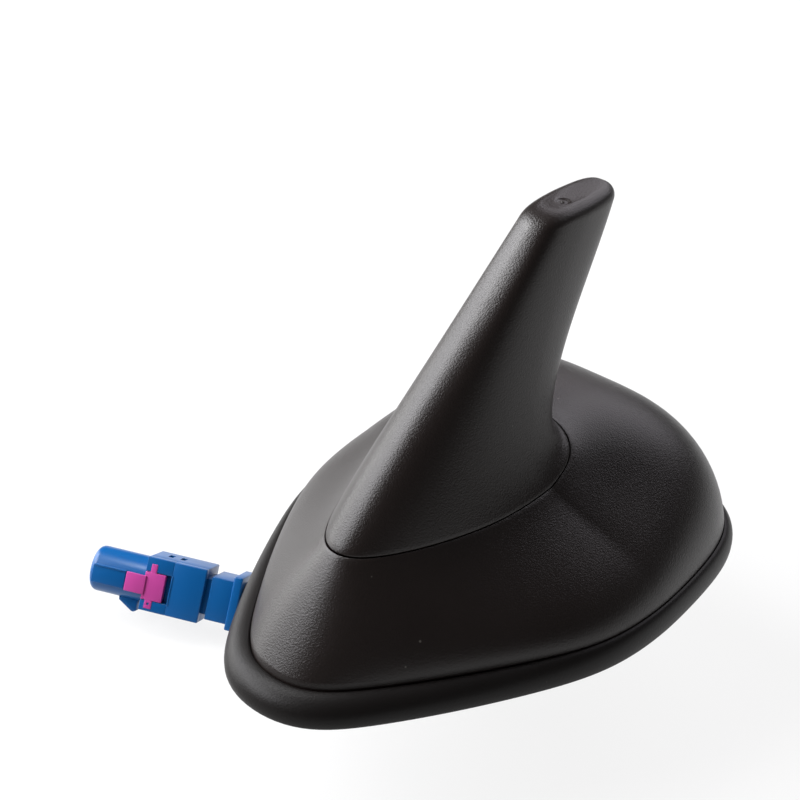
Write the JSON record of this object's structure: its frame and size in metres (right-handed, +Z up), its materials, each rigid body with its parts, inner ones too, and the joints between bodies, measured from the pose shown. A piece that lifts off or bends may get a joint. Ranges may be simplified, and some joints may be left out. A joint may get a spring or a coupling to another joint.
{
  "type": "shark fin aerial",
  "caption": "Black roof aerial: a swept fin on a low domed cover with a soft gasket lip, a hollow fixing stud underneath and a short coaxial lead to a blue locking plug.",
  "frame": {"origin": "on the fixing stud's axis, in the underside of the gasket, where the roof is", "axes": "+Z up out of the roof, -X to the pointed nose, +X to the tail, +Y to the side where the plug lies"},
  "size_m": [0.1158, 0.111, 0.1008],
  "materials": {
    "cover_black": "satin, fine grain",
    "gasket_rubber": "soft matte",
    "seal_rubber": "matte",
    "cast_plate": "as cast",
    "plated_steel": "zinc plated",
    "screw_steel": "zinc plated",
    "board_green": "solder mask on glass laminate",
    "holder_plastic": "plain moulded",
    "spring_bronze": "rolled strip",
    "pad_foam": "adhesive foam",
    "patch_ceramic": "fired ceramic",
    "tinned_metal": "tin plated",
    "chip_black": "moulded resin",
    "filter_ceramic": "fired ceramic",
    "contact_brass": "plated",
    "lead_jacket": "extruded",
    "boot_rubber": "matte",
    "plug_blue": "moulded, light sheen",
    "lock_pink": "moulded, light sheen",
    "insulator_white": "plain moulded"
  },
  "bodies": {
    "root": {"fin_shell": "cover_black", "base_cover": "cover_black", "fin_seal": "seal_rubber", "roof_gasket": "gasket_rubber", "base_plate": "cast_plate", "fixing_stud": "plated_steel", "stud_seal": "seal_rubber", "claw_washer": "plated_steel", "fixing_nut": "plated_steel", "cover_screws": "screw_steel", "perimeter_seal": "seal_rubber", "main_board": "board_green", "board_screws": "screw_steel", "board_holder": "holder_plastic", "fin_board": "board_green", "feed_spring": "spring_bronze", "patch_pad": "pad_foam", "patch_antenna": "patch_ceramic", "patch_pin": "tinned_metal", "shield_can": "tinned_metal", "amplifier_chip": "chip_black", "filter_block": "filter_ceramic", "coax_socket": "contact_brass", "lead_inside": "lead_jacket", "stud_bush": "seal_rubber", "coax_lead": "lead_jacket", "cable_boot": "boot_rubber", "crimp_ferrule": "contact_brass", "plug_housing": "plug_blue", "secondary_lock": "lock_pink", "contact_shell": "tinned_metal", "insulator": "insulator_white", "centre_contact": "contact_brass"}
  },
  "joints": []
}
